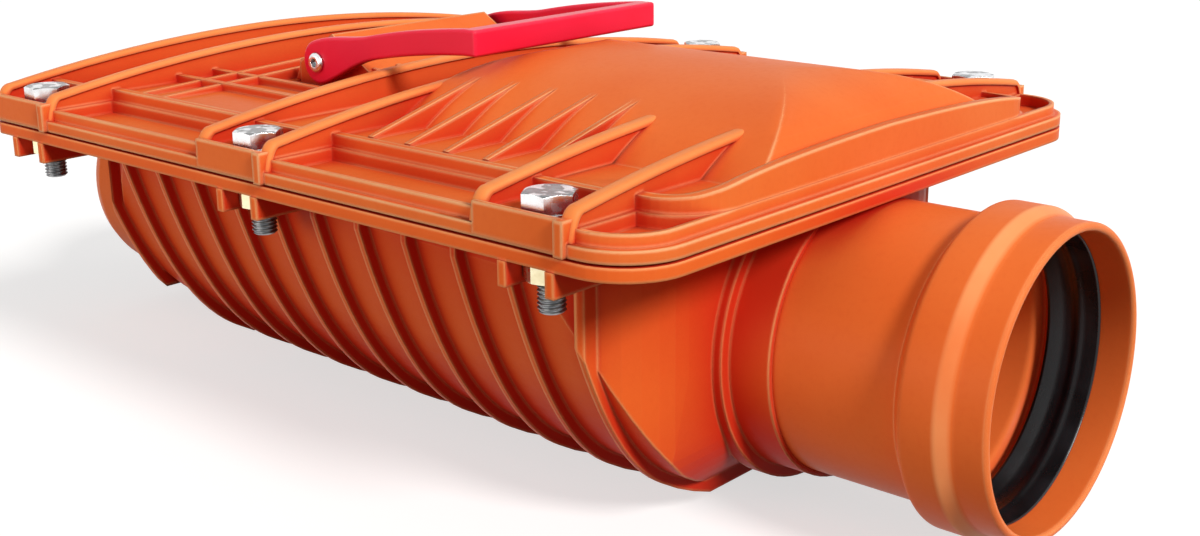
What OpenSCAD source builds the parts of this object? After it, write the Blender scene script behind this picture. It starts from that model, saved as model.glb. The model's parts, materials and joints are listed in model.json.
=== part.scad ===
// Backwater valve for a buried drain: trough body, bolted ribbed lid, flap and locking lever.
// Modelled about the pipe axis, with x = 0 at the middle pair of lid bolts, then set on its foot.

/* [Pipe line] */
// Outside diameter of the drain pipe
pipe_d = 110; // [105:1:114]
// Wall of the pipe
pipe_wall = 3.2; // [2.6:0.1:4]
// Length of the inlet spigot beyond the end wall
spigot_l = 106; // [70:1:120]
// Mouth of the outlet socket beyond the end wall
socket_l = 110; // [106:1:140]
// Depth of the socket
socket_depth = 36; // [33:1:40]
// Clearance of a pipe in the socket, on the radius
socket_fit = 0.3; // [0.2:0.05:0.5]
// Start of the seal bead, back from the mouth
bead_back = 32; // [29:1:36]
// Width of the seal bead of the socket
bead_w = 14; // [12:1:16]
// Height of the bead over the pipe
bead_h = 6.6; // [6:0.1:8]
// Width of the seal ring
seal_w = 9; // [7:1:10]

/* [Body] */
// Height of the pipe axis over the foot
axis_h = 70; // [70:1:80]
// Half length of the trough, to its end walls
trough_half_l = 162; // [158:1:170]
// Width of the flange beside the trough
flange_w = 30; // [26:1:34]
// Radius of the shallow trough floor, across
floor_r = 134; // [124:1:150]
// Half width of that floor, before it bends up into the walls
floor_half_w = 71; // [66:1:76]
// Depth of the floor below the pipe, outside
floor_drop = 6.5; // [5:0.5:8]
// Fall of the floor towards the outlet, in degrees
floor_fall = 1.2; // [0:0.1:1.4]
// Radius of the lower outlet edge of the trough
bow_r = 36; // [24:1:44]
// Radius of the lower inlet edge of the trough
bow_in_r = 100; // [70:1:104]
// Wall of the trough
trough_wall = 3.6; // [3:0.1:5]
// Radius of the upright corners of the trough
trough_corner = 46; // [36:1:54]
// Number of ribs round the trough
rib_count = 12; // [9:1:15]
// Distance of the outer ribs from the end walls
rib_margin = 16; // [8:1:20]
// Thickness of a rib
rib_t = 2.8; // [2.4:0.1:5]
// Height of a rib over the wall
rib_h = 5; // [3:0.5:6]
// Length of the collars on the end walls
collar_l = 22; // [18:1:32]
// Thickness of the collars round the pipes
collar_t = 2.2; // [2:0.2:4]

/* [Lid and flanges] */
// Height of the parting plane over the pipe axis
part_z = 62; // [60:0.5:65]
// Thickness of the flat lid gasket
gasket_t = 1; // [0.8:0.1:2]
// Thickness of the body flange
body_flange_t = 5; // [4:0.5:7]
// Thickness of the lid flange
lid_flange_t = 9; // [8:0.5:11]
// Lid length beyond the upstream end wall
lid_over_in = 22; // [20:1:30]
// Lid length beyond the downstream end wall
lid_over_out = 38; // [34:1:44]
// Half width of the lid
lid_half_w = 151; // [148:1:160]
// Corner radius of the flanges at the outlet
lid_corner = 24; // [20:1:30]
// Corner radius of the flanges at the inlet
lid_corner_in = 8; // [6:1:14]
// Wall of the lid
lid_wall = 3; // [2.5:0.1:4]
// Top of the deck over the lid flange
deck_h = 3.5; // [3.5:0.5:5]
// Top of the dome over the pipe axis
dome_top = 100; // [96:1:101]
// Radius of the dome across the lid
dome_r = 150; // [140:1:170]
// Top of the transverse arches over the pipe axis
arch_top = 89.5; // [87:0.5:92]
// Height of the arches over the pipe axis at their shoulders
arch_shoulder = 77.5; // [76:0.5:80]

/* [Bolts] */
// Distance of the outer bolts from the end walls, inwards
bolt_inset = 8; // [4:1:12]
// Distance of the bolts from the long edge of the lid
bolt_edge = 12; // [11.6:0.1:13]
// Thread diameter of the lid bolts
bolt_d = 10; // [8:1:10]
// Length of the lid bolts under the head
bolt_l = 35; // [32:1:45]

/* [Lever and lock] */
// Lever shaft, upstream of the middle bolts
shaft_back = 65; // [60:1:70]
// Height of the lever shaft over the pipe axis
shaft_z = 88; // [86:0.5:90]
// Diameter of the lever shaft
shaft_d = 7; // [6:0.5:8]
// Reach of the lever from its shaft to its grip
lever_reach = 98; // [90:1:110]
// Rise of the grip over the shaft
lever_rise = 17.5; // [17.5:0.5:24]
// Height of the lever arms
lever_h = 11; // [9:0.5:12]
// Thickness of the lever arms
lever_t = 5; // [4:0.5:6]
// Angle through which the lever turns to lock
lever_travel = 115; // [100:1:120]

/* [Flap] */
// Lean of the flap seat from upright
seat_tilt = 8; // [6:0.5:10]
// Radius of the flap
flap_r = 55.5; // [54:0.5:56]
// Thickness of the flap plate
flap_t = 4.2; // [3.5:0.1:5]
// Thickness of the flap seal
flap_seal_t = 2.5; // [2:0.1:3]
// Length of the heel that the lock presses on
heel_l = 19.5; // [18:0.5:20]
// Diameter of the flap hinge pin
pin_d = 5; // [4:0.5:6]

/* [Hidden] */
$fn = 96;
orange = [0.91, 0.42, 0.14];
zinc = [0.78, 0.79, 0.78];
rubber = [0.06, 0.06, 0.07];
red = [0.85, 0.07, 0.18];
grey = [0.45, 0.46, 0.48];

// Clearances
contact_gap = 0.3;
running_gap = 0.06;
glue_gap = 0.1;
hole_gap = 0.5;
eps = 0.01;
over = 1;

// Pipe line
spigot_reach = trough_half_l + spigot_l;
mouth_reach = trough_half_l + socket_l;
pipe_r = pipe_d / 2;
neck_step = 1;
neck_r = pipe_r - neck_step;
neck_x = -trough_half_l - collar_l - neck_step;
bore_r = pipe_r - pipe_wall;
socket_r = pipe_r + socket_fit;
sleeve_r = socket_r + pipe_wall;
bead_r = pipe_r + bead_h;
bead_x0 = mouth_reach - bead_back;
bead_slope = 5;
groove_r = bead_r - pipe_wall;
seal_x0 = bead_x0 + (bead_w - seal_w) / 2;
spigot_chamfer = 2;
line_mid = (mouth_reach - spigot_reach) / 2;

// Heights over the pipe axis
body_top = part_z - gasket_t / 2;
body_under = body_top - body_flange_t;
lid_under = part_z + gasket_t / 2;
lid_top = lid_under + lid_flange_t;
deck_top = lid_top + deck_h;
deck_under = deck_top - lid_wall;
shaft_x = -shaft_back;

// Trough and its gasket
gasket_end = 16;
gasket_side = 5;
trough_half_w = lid_half_w - flange_w;
rib_span = 2 * (trough_half_l - rib_margin);
rib_pitch = rib_span / (rib_count - 1);
floor_z = -pipe_r - floor_drop;
floor_mid_z = floor_z + floor_r;
floor_angle = asin(floor_half_w / floor_r);
wall_h = 12;
knee_l = 38;
tilt_room = 10;
foot_half_w = 26;
foot_l = 12;
foot_x = trough_half_l - bow_r - foot_l;
ridge_w = 4;
ridge_h = 5;
arc_steps = 14;
corner_steps = 10;

// Lid outline and its transverse rib pairs
lid_left = trough_half_l + lid_over_in;
lid_right = trough_half_l + lid_over_out;
bolt_x = trough_half_l - bolt_inset;
bolt_y = lid_half_w - bolt_edge;
lid_step = 3;
lid_step_h = 4.5;
deck_inset = 12;
deck_edge = 38;
deck_half_w = lid_half_w - deck_edge;
rib_pairs = [-bolt_x, 0, bolt_x];
pair_back = 24;
pair_front = 16;
pair_t = 4;
shoulder_edge = 8;
shoulder_y = lid_half_w - shoulder_edge;
shoulder_steps = 5;
arch_steps = 20;
pocket_edge = 29;
pocket_wall_y = lid_half_w - pocket_edge;
pocket_front_h = 3;
pocket_front_t = 2;
edge_wrap = 2;
rail_edge = 35.5;
rail_y = lid_half_w - rail_edge;
rail_h = 5;
ledge_w = 2;
recess_y = rail_y + pair_t / 2 + ledge_w;
recess_h = 5;
rim_w = 5;
bays = [[-bolt_x + pair_front, -pair_back], [pair_front, bolt_x - pair_back]];

// Dome and its fins
dome_x0 = pair_front;
end_plate_t = 4;
dome_x1 = lid_right - lid_step - end_plate_t;
dome_mid_z = dome_top - dome_r;
dome_end_z = 80;
dome_start_z = 86;
dome_rise_l = 45;
dome_rise_bend = 6;
dome_fall_l = 48;
dome_fall_bend = 12;
end_plate_top = 84.5;
end_plate_half_w = rail_y + pair_t / 2;
end_plate_low = lid_top + rail_h;
end_plate_toe = 8;
end_plate_swell = 30;
end_plate_crown = 1;
end_plate_corner = 22;
fin_count = 5;
fin_t = 3;
fin_start = 16;
fin_x0 = dome_x0 + fin_start;
fin_pitch = 21;
fin_edge = 41;
fin_y0 = lid_half_w - fin_edge;
fin_y1 = 50;
fin_toe_h = 1;
fin_low = deck_top + fin_toe_h;

// Shaft housing on the lid
house_half_l = 48;
house_half_w = 24;
house_eave = 85;
house_cap = 11.5;
house_top = shaft_z + house_cap;
house_boss_t = 12;
crate_gaps = [-53, -37, 31];
crate_rows = [for (gap = crate_gaps) shaft_x + gap];
crate_drop = 8;
crate_h = 7;
crate_t = 3;
crate_y = [62, 82];

// Bolts with their washers and nuts
bolt_head_h = 6.4;
bolt_head_af = 17;
nut_h = 7;
washer_t = 1.6;
washer_r = 9;
hex_r = bolt_head_af / 2 / cos(30);
nut_wall = 4;
nut_block_w = bolt_head_af + 2 * nut_wall;
bolt_places = [for (x = rib_pairs) for (side = [-1, 1]) [x, side * bolt_y]];

// Lock geometry: the heel stands square to the cam when the lever is locked
heel_t = 4;
heel_tip_r = heel_t / 2;
heel_angle = 48;
lock_half_w = 3.5;
hub_r = shaft_d / 2 + 2;
hub_half_w = 6;
hinge_drop = heel_l + heel_tip_r + hub_r + hole_gap;
drop_angle = heel_angle + acos(heel_l / hinge_drop);
hinge = [shaft_x - hinge_drop * cos(drop_angle), shaft_z - hinge_drop * sin(drop_angle)];
heel_tip = hinge + heel_l * [cos(heel_angle), sin(heel_angle)];
cam_vec = heel_tip - [shaft_x, shaft_z];
cam_lock_angle = atan2(cam_vec[1], cam_vec[0]);
cam_l = norm(cam_vec) - heel_tip_r - contact_gap;
cam_t = 4.4;
cam_pin_d = 2.5;

// Seat frame: x is square to the seat and points downstream
hinge_x = 10;
hinge_rise = (hinge[1] - hinge_x * sin(seat_tilt)) / cos(seat_tilt);
seat_x = hinge[0] - hinge_x * cos(seat_tilt) + hinge_rise * sin(seat_tilt);
seat_t = 6;
seat_r = pipe_r + 3;
ear_y = 10;
ear_t = 5;
ear_r = 5.5;
knuckle_half_w = ear_y - 2 * contact_gap;
pin_half_l = ear_y + ear_t + 3;
clip_t = 1;
clip_r = pin_d / 2 + 2;
flap_x0 = contact_gap + flap_seal_t;
flap_x1 = flap_x0 + flap_t;
retainer_r = bore_r - 3;
retainer_t = 2.4;
flap_screw_r = 2;
flap_screw_head = 3.6;
flap_screw_ring = 40;
flap_rib_h = 4;

// Lever
arm_y = house_half_l + 4;
grip_x = shaft_x + lever_reach;
grip_z = shaft_z + lever_rise;
arm_chord = norm([lever_reach, lever_rise]);
arm_angle = atan2(lever_rise, lever_reach);
arm_sag = 7;
arm_r = (arm_chord * arm_chord / 4 + arm_sag * arm_sag) / (2 * arm_sag);
eye_r = 10;
grip_t = 7;
bush_r = shaft_d / 2 + 2.5;
bush_l = 7;
o_ring_l = 3;
lever_screw_r = 4.5;
lever_screw_h = 2.2;
lever_screw_l = 10;
lever_washer_r = 6.5;

// Points of an arc about c, from angle a0 to angle a1
function arc(c, r, a0, a1, n) = [for (i = [0:n]) c + r * [cos(a0 + (a1 - a0) * i / n), sin(a0 + (a1 - a0) * i / n)]];
// Points of a curve that leaves a towards b and ends at c
function bend(a, b, c, n) = [for (i = [0:n]) let (t = i / n) (1 - t) * (1 - t) * a + 2 * t * (1 - t) * b + t * t * c];
// Rectangle with round corners, from x0 to x1 and to both sides of y = 0; r_in is for the corners at x0
function plan(x0, x1, half_w, r, r_in = 0) = let (s = r_in > 0 ? r_in : r) concat(
    arc([x1 - r, half_w - r], r, 0, 90, corner_steps), arc([x0 + s, half_w - s], s, 90, 180, corner_steps),
    arc([x0 + s, s - half_w], s, 180, 270, corner_steps), arc([x1 - r, r - half_w], r, 270, 360, corner_steps));
// Mirror image of an outline's points in the upright axis, in reverse order
function flipped(points) = [for (i = [len(points) - 1:-1:0]) [-points[i][0], points[i][1]]];

module along_x(x0, x1) translate([x0, 0, 0]) rotate([90, 0, 90]) linear_extrude(x1 - x0) children();
module along_y(y0, y1) translate([0, y1, 0]) rotate([90, 0, 0]) linear_extrude(y1 - y0) children();
module slab(z0, z1) translate([0, 0, z0]) linear_extrude(z1 - z0) children();
module rod_x(x0, x1, r) translate([x0, 0, 0]) rotate([0, 90, 0]) cylinder(h = x1 - x0, r = r);
module rod_y(y0, y1, r) translate([0, y0, 0]) rotate([-90, 0, 0]) cylinder(h = y1 - y0, r = r);
module block(lo, hi) translate(lo) cube(hi - lo);
module both_sides() for (side = [0, 1]) mirror([0, side, 0]) children();
module placed() translate([-line_mid, 0, axis_h]) children();
module in_seat() translate([seat_x, 0, 0]) rotate([0, -seat_tilt, 0]) children();
module at_shaft() translate([shaft_x, 0, shaft_z]) children();
module at_bolts() for (p = bolt_places) translate([p[0], p[1], 0]) children();

// Section of the trough, grown outwards: a shallow round floor that bends up into steep walls
module trough_section(grow, top_z) {
    r = floor_r + grow;
    half_w = trough_half_w + grow;
    floor_end = [r * sin(floor_angle), floor_mid_z - r * cos(floor_angle)];
    knee = floor_end + knee_l * [cos(floor_angle), sin(floor_angle)];
    side = concat([[half_w, top_z]], bend([half_w, body_under - wall_h], knee, floor_end, arc_steps));
    polygon(concat(side, arc([0, floor_mid_z], r, floor_angle - 90, -90 - floor_angle, arc_steps), flipped(side)));
}

// Side view of the trough, grown outwards, with round lower edges
function trough_end(r, grow, top_z) = concat([[trough_half_l + grow, top_z]],
    arc([trough_half_l - r, floor_z + r], r + grow, 0, -90, arc_steps));
module trough_side(grow, top_z) polygon(concat(trough_end(bow_r, grow, top_z),
    flipped(trough_end(bow_in_r, grow, top_z))));

module trough(grow, top_z) intersection() {
    rotate([0, floor_fall, 0]) intersection() {
        along_x(-lid_left, lid_right) trough_section(grow, top_z + tilt_room);
        along_y(-lid_half_w, lid_half_w) trough_side(grow, top_z + tilt_room);
    }
    slab(-2 * axis_h, top_z)
        polygon(plan(-trough_half_l - grow, trough_half_l + grow, trough_half_w + grow + over, trough_corner + grow));
}

module flange_plate(z0, z1, inset) slab(z0, z1)
    polygon(plan(-lid_left + inset, lid_right - inset, lid_half_w - inset, lid_corner - inset, lid_corner_in - inset));

module trough_ribs() intersection() {
    trough(rib_h, body_top);
    for (i = [0:rib_count - 1]) translate([-rib_span / 2 + i * rib_pitch, 0, 0])
        block([-rib_t / 2, -lid_half_w, -2 * axis_h], [rib_t / 2, lid_half_w, body_top]);
}

module foot() block([foot_x, -foot_half_w, -axis_h], [foot_x + foot_l, foot_half_w, floor_z + trough_wall]);

module collars() for (end = [[0, bow_r], [1, bow_in_r]]) mirror([end[0], 0, 0]) {
    rod_x(trough_half_l - end[1], trough_half_l + collar_l, pipe_r + collar_t);
    rod_x(trough_half_l - trough_wall, trough_half_l + ridge_w, pipe_r + collar_t + ridge_h);
}

module nut_blocks() at_bolts()
    block([-nut_block_w / 2, -nut_block_w / 2, body_under - nut_h - nut_wall / 2],
        [nut_block_w / 2, nut_block_w / 2, body_under]);

module nut_slots() for (p = bolt_places) translate([p[0], p[1], 0]) mirror([0, p[1] < 0 ? 1 : 0, 0])
    block([-bolt_head_af / 2 - contact_gap, -hex_r - contact_gap, body_under - nut_h - nut_wall],
        [bolt_head_af / 2 + contact_gap, nut_block_w, body_under]);

module body_shell() color(orange) difference() {
    union() {
        trough(0, body_under);
        trough_ribs();
        flange_plate(body_under, body_top, 0);
        nut_blocks();
        collars();
        foot();
    }
    trough(-trough_wall, body_top + over);
    rod_x(-spigot_reach, 0, neck_r + glue_gap);
    rod_x(0, mouth_reach, pipe_r);
    in_seat() rod_x(-seat_t - contact_gap, contact_gap, seat_r + contact_gap);
    nut_slots();
    at_bolts() cylinder(h = 3 * axis_h, r = bolt_d / 2 + hole_gap, center = true);
    block([-lid_left, -lid_half_w, body_top], [lid_right, lid_half_w, body_top + axis_h]);
}

module inlet_spigot() color(orange) difference() {
    rotate([0, 90, 0]) rotate_extrude() polygon([[bore_r, -spigot_reach], [pipe_r - spigot_chamfer, -spigot_reach],
        [pipe_r, -spigot_reach + 3 * spigot_chamfer], [pipe_r, neck_x], [neck_r, neck_x], [neck_r, trough_half_l],
        [bore_r, trough_half_l]]);
    in_seat() block([-seat_t, -trough_half_w, -trough_half_w], [spigot_reach + mouth_reach, trough_half_w, trough_half_w]);
}

module outlet_socket() color(orange) rotate([0, 90, 0]) rotate_extrude() polygon([
    [bore_r, trough_half_l - trough_wall], [pipe_r, trough_half_l - trough_wall], [pipe_r, bead_x0 - bead_slope],
    [bead_r, bead_x0], [bead_r, bead_x0 + bead_w], [sleeve_r, bead_x0 + bead_w + bead_slope],
    [sleeve_r, mouth_reach], [socket_r, mouth_reach],
    [socket_r, seal_x0 + seal_w], [groove_r, seal_x0 + seal_w], [groove_r, seal_x0], [socket_r, seal_x0],
    [socket_r, mouth_reach - socket_depth], [bore_r, mouth_reach - socket_depth - pipe_wall]]);

module socket_seal() color(rubber) translate([seal_x0, 0, 0]) rotate([0, 90, 0]) difference() {
    cylinder(h = seal_w, r = groove_r);
    translate([0, 0, -over]) cylinder(h = seal_w + 2 * over, r = socket_r);
}

module seat_ring() color(orange) in_seat() difference() {
    union() {
        rod_x(-seat_t, 0, seat_r);
        both_sides() {
            along_y(ear_y, ear_y + ear_t) polygon([[-seat_t, bore_r], [0, bore_r], [0, flap_r + 2],
                [hinge_x - ear_r + 2, flap_r + 2], [hinge_x, hinge_rise], [hinge_x, hinge_rise + ear_r], [-seat_t, seat_r]]);
            translate([hinge_x, 0, hinge_rise]) rod_y(ear_y, ear_y + ear_t, ear_r);
        }
    }
    rod_x(-seat_t - over, over, bore_r);
    translate([hinge_x, 0, hinge_rise]) rod_y(-pin_half_l, pin_half_l, pin_d / 2);
}

module hinge_pin() color(zinc) in_seat() translate([hinge_x, 0, hinge_rise]) rod_y(-pin_half_l, pin_half_l, pin_d / 2);

module hinge_clips() color(zinc) in_seat() translate([hinge_x, 0, hinge_rise]) both_sides() difference() {
    rod_y(ear_y + ear_t, ear_y + ear_t + clip_t, clip_r);
    rod_y(ear_y, pin_half_l, pin_d / 2);
}

// Section of a transverse lid arch
module arch_section() {
    edge = bend([lid_half_w - lid_step / 2, lid_under + lid_step_h], [lid_half_w - lid_step, arch_shoulder - over],
        [shoulder_y, arch_shoulder], shoulder_steps);
    sag = arch_top - arch_shoulder;
    r = (shoulder_y * shoulder_y + sag * sag) / (2 * sag);
    a = asin(shoulder_y / r);
    polygon(concat(edge, arc([0, arch_top - r], r, 90 - a, 90 + a, arch_steps), flipped(edge)));
}

module arch_pairs() for (x = rib_pairs) {
    for (dx = [-pair_back, pair_front]) along_x(x + dx - pair_t / 2, x + dx + pair_t / 2) arch_section();
    both_sides() {
        block([x - pair_back, pocket_wall_y - pair_t / 2, lid_under + lid_wall],
            [x + pair_front, pocket_wall_y + pair_t / 2, arch_shoulder]);
        block([x - pair_back, lid_half_w - pocket_front_t, lid_under + over],
            [x + pair_front, lid_half_w + contact_gap, lid_top + pocket_front_h]);
        block([x + pair_front - pair_t / 2, lid_half_w - pair_t, lid_under],
            [x + pair_front + pair_t / 2, lid_half_w + edge_wrap, lid_top + pocket_front_h]);
    }
}

module rails() for (bay = bays) both_sides()
    block([bay[0], rail_y - pair_t / 2, lid_top - over], [bay[1], rail_y + pair_t / 2, lid_top + rail_h]);

// Shallow recess between the rim of the lid and its rails, left out at the arches
module bay_recess() difference() {
    slab(lid_top - recess_h, dome_top) difference() {
        polygon(plan(-lid_left + rim_w, lid_right - rim_w, lid_half_w - rim_w, lid_corner - rim_w, lid_corner_in - rim_w));
        polygon(plan(-lid_left, lid_right - lid_step, recess_y, end_plate_corner));
    }
    for (x = rib_pairs) block([x - pair_back - pair_t, -lid_half_w, lid_under],
        [x + pair_front + pair_t, lid_half_w, dome_top + over]);
}

// Side view of the dome, grown outwards
module dome_side(grow) polygon(concat([[dome_x0 - grow, lid_under], [dome_x0 - grow, dome_start_z]],
    bend([dome_x0 - grow, dome_start_z], [dome_x0 + dome_rise_bend, dome_top + grow],
        [dome_x0 + dome_rise_l, dome_top + grow], corner_steps),
    bend([dome_x1 - dome_fall_l, dome_top + grow], [dome_x1 - dome_fall_bend, dome_top + grow],
        [dome_x1 + grow, dome_end_z], corner_steps),
    [[dome_x1 + grow, lid_under]]));

module dome(grow) intersection() {
    along_x(dome_x0 - over - grow, dome_x1 + over + grow) intersection() {
        translate([0, dome_mid_z]) circle(r = dome_r + grow, $fn = 180);
        translate([-deck_half_w - grow, lid_under]) square([2 * (deck_half_w + grow), dome_top]);
    }
    along_y(-deck_half_w - over, deck_half_w + over) dome_side(grow);
}

module fins() for (i = [0:fin_count - 1]) both_sides()
    along_x(fin_x0 + i * fin_pitch - fin_t / 2, fin_x0 + i * fin_pitch + fin_t / 2)
        polygon([[fin_y0, lid_top], [fin_y0, fin_low], [fin_y1, dome_mid_z + sqrt(dome_r * dome_r - fin_y1 * fin_y1)],
            [fin_y1, lid_top]]);

// Wall that runs round the outlet end of the lid, from arch to arch
module end_plate() intersection() {
    rim = concat([[end_plate_half_w, lid_top - over], [end_plate_half_w, end_plate_low]],
        bend([end_plate_half_w - end_plate_toe, end_plate_low + over],
            [end_plate_half_w - end_plate_swell, end_plate_top - end_plate_crown], [0, end_plate_top], corner_steps));
    along_x(bolt_x + pair_front, lid_right) polygon(concat(rim, flipped(rim)));
    slab(lid_top - over, dome_top) difference() {
        polygon(plan(0, lid_right - lid_step - contact_gap, end_plate_half_w, end_plate_corner));
        polygon(plan(-bolt_x, dome_x1 - contact_gap, end_plate_half_w - end_plate_t, end_plate_corner - end_plate_t));
    }
}

module housing(shrink) along_y(-house_half_l + 4 * shrink / 3, house_half_l - 4 * shrink / 3)
    polygon([[shaft_x - house_half_w + shrink, lid_under - (shrink > 0 ? over : 0)],
        [shaft_x - house_half_w + shrink, house_eave - shrink / 2], [shaft_x, house_top - 1.2 * shrink],
        [shaft_x + house_half_w - shrink, house_eave - shrink / 2],
        [shaft_x + house_half_w - shrink, lid_under - (shrink > 0 ? over : 0)]]);

module egg_crate() both_sides() {
    for (y = crate_y) block([bays[0][0], y - crate_t / 2, lid_top], [bays[0][1], y + crate_t / 2, lid_top + crate_h]);
    for (x = crate_rows) along_x(x - crate_t / 2, x + crate_t / 2)
        polygon([[0, lid_top], [0, arch_top - crate_drop], [rail_y, lid_top + rail_h], [rail_y, lid_top]]);
}

module shaft_bosses() at_shaft() both_sides() rod_y(house_half_l - house_boss_t, house_half_l, bush_r + lid_wall);

module lid_cover() color(orange) difference() {
    union() {
        difference() {
            union() {
                flange_plate(lid_under, lid_under + lid_step_h, 0);
                flange_plate(lid_under + lid_step_h - eps, lid_top, lid_step);
                slab(lid_top - eps, deck_top)
                    polygon(plan(-lid_left + deck_inset, lid_right - deck_inset, deck_half_w, lid_corner - deck_inset / 2));
                dome(0);
                fins();
                end_plate();
                arch_pairs();
                rails();
                egg_crate();
                housing(0);
            }
            slab(lid_under - over, deck_under)
                polygon(plan(-trough_half_l + trough_wall, trough_half_l - trough_wall, deck_half_w - lid_wall, lid_corner));
            dome(-lid_wall);
            housing(lid_wall);
            bay_recess();
        }
        shaft_bosses();
    }
    at_shaft() rod_y(-lid_half_w, lid_half_w, bush_r);
    at_bolts() translate([0, 0, lid_under - over]) cylinder(h = axis_h, r = bolt_d / 2 + hole_gap);
}

module lid_gasket() color(rubber) slab(body_top, lid_under) difference() {
    polygon(plan(-trough_half_l - gasket_end, trough_half_l + gasket_end, trough_half_w + gasket_side, trough_corner));
    polygon(plan(-trough_half_l, trough_half_l, trough_half_w - over, trough_corner - gasket_side));
}

module lid_bolts() color(zinc) at_bolts() {
    translate([0, 0, lid_top + washer_t]) cylinder(h = bolt_head_h, r = hex_r, $fn = 6);
    translate([0, 0, lid_top + washer_t - bolt_l]) cylinder(h = bolt_l + eps, r = bolt_d / 2);
}

module lid_washers() color(zinc) at_bolts() translate([0, 0, lid_top]) difference() {
    cylinder(h = washer_t, r = washer_r);
    translate([0, 0, -over]) cylinder(h = washer_t + 2 * over, r = bolt_d / 2 + running_gap);
}

module lid_nuts() color(zinc) at_bolts() translate([0, 0, body_under - nut_h]) difference() {
    rotate(30) cylinder(h = nut_h, r = hex_r, $fn = 6);
    translate([0, 0, -over]) cylinder(h = nut_h + 2 * over, r = bolt_d / 2 + running_gap);
}

module shaft_bushes() color(grey) at_shaft() both_sides() difference() {
    rod_y(house_half_l - bush_l, house_half_l, bush_r);
    rod_y(0, lid_half_w, shaft_d / 2 + running_gap);
}

module shaft_o_rings() color(rubber) at_shaft() both_sides() difference() {
    rod_y(house_half_l - bush_l - o_ring_l, house_half_l - bush_l, bush_r);
    rod_y(0, lid_half_w, shaft_d / 2 + running_gap);
}

module lever_shaft() color(zinc) at_shaft() difference() {
    rod_y(-arm_y - lever_t, arm_y + lever_t, shaft_d / 2);
    both_sides() rod_y(arm_y + lever_t - lever_screw_l, lid_half_w, shaft_d / 4);
    cylinder(h = 2 * shaft_d, r = cam_pin_d / 2, center = true);
}

// Side view of one lever arm: a banana-shaped strip with a round eye
module arm_side() {
    rotate(arm_angle) translate([arm_chord / 2, arm_sag - arm_r]) intersection() {
        difference() {
            circle(r = arm_r + lever_h / 2, $fn = 200);
            circle(r = arm_r - lever_h / 2, $fn = 200);
        }
        translate([-arm_chord / 2, 0]) square([arm_chord + grip_t / 2, 2 * arm_r]);
    }
    circle(r = eye_r);
}

module lever_yoke() color(red) difference() {
    union() {
        at_shaft() both_sides() along_y(arm_y, arm_y + lever_t) arm_side();
        translate([grip_x, 0, grip_z]) along_y(-arm_y - lever_t, arm_y + lever_t)
            translate([-grip_t / 2, -lever_h / 2]) square([grip_t, lever_h]);
    }
    at_shaft() rod_y(-lid_half_w, lid_half_w, shaft_d / 2);
}

module lever_screws() color(zinc) at_shaft() both_sides() {
    rod_y(arm_y + lever_t, arm_y + lever_t + lever_screw_h, lever_screw_r);
    rod_y(arm_y + lever_t - lever_screw_l, arm_y + lever_t + eps, shaft_d / 4);
}

module lever_washers() color(zinc) at_shaft() both_sides() difference() {
    rod_y(house_half_l + contact_gap, arm_y, lever_washer_r);
    rod_y(0, lid_half_w, shaft_d / 2);
}

module lock_cam() color(zinc) at_shaft() difference() {
    union() {
        rod_y(-hub_half_w, hub_half_w, hub_r);
        rotate([0, lever_travel - cam_lock_angle, 0])
            block([0, -lock_half_w, -cam_t / 2], [cam_l, lock_half_w, cam_t / 2]);
    }
    rod_y(-lid_half_w, lid_half_w, shaft_d / 2);
    cylinder(h = 4 * hub_r, r = cam_pin_d / 2, center = true);
}

module cam_pin() color(grey) at_shaft() cylinder(h = 2 * hub_r, r = cam_pin_d / 2, center = true);

module flap_plate() color(orange) in_seat() difference() {
    union() {
        rod_x(flap_x0, flap_x1, flap_r);
        difference() {
            rod_x(flap_x1 - eps, flap_x1 + flap_rib_h / 2, retainer_r);
            rod_x(flap_x1 - over, flap_x1 + flap_rib_h, retainer_r - flap_rib_h);
        }
        for (y = [-2 * ear_y, 0, 2 * ear_y]) block([flap_x1 - eps, y - flap_t / 2, -retainer_r + abs(y) / 2],
            [flap_x1 + flap_rib_h, y + flap_t / 2, retainer_r - abs(y) / 2]);
        along_y(-knuckle_half_w, knuckle_half_w) polygon([[flap_x1 - eps, ear_y], [flap_x1 + flap_rib_h, ear_y],
            [hinge_x + ear_r, hinge_rise], [hinge_x, hinge_rise], [flap_x1 - eps, flap_r - 2]]);
        translate([hinge_x, 0, hinge_rise]) {
            rod_y(-knuckle_half_w, knuckle_half_w, ear_r);
            rotate([0, seat_tilt - heel_angle, 0]) {
                block([0, -lock_half_w, -heel_t / 2], [heel_l, lock_half_w, heel_t / 2]);
                translate([heel_l, 0, 0]) rod_y(-lock_half_w, lock_half_w, heel_tip_r);
            }
        }
    }
    translate([hinge_x, 0, hinge_rise]) rod_y(-pin_half_l, pin_half_l, pin_d / 2 + running_gap);
    flap_screw_places() rod_x(-retainer_t, flap_x1 - over, flap_screw_r);
}

module flap_screw_places() for (a = [45:90:315]) rotate([a, 0, 0]) translate([0, 0, flap_screw_ring]) children();

module flap_seal() color(rubber) in_seat() difference() {
    rod_x(contact_gap, flap_x0, flap_r);
    flap_screw_places() rod_x(-over, flap_x1, flap_screw_r);
}

module flap_retainer() color(zinc) in_seat() difference() {
    rod_x(contact_gap - retainer_t, contact_gap, retainer_r);
    flap_screw_places() rod_x(-2 * retainer_t, over, flap_screw_r);
}

module flap_screws() color(zinc) in_seat() flap_screw_places() {
    rod_x(contact_gap - retainer_t - flap_screw_r, contact_gap - retainer_t, flap_screw_head);
    rod_x(contact_gap - retainer_t - eps, flap_x1 - over, flap_screw_r);
}

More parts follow.
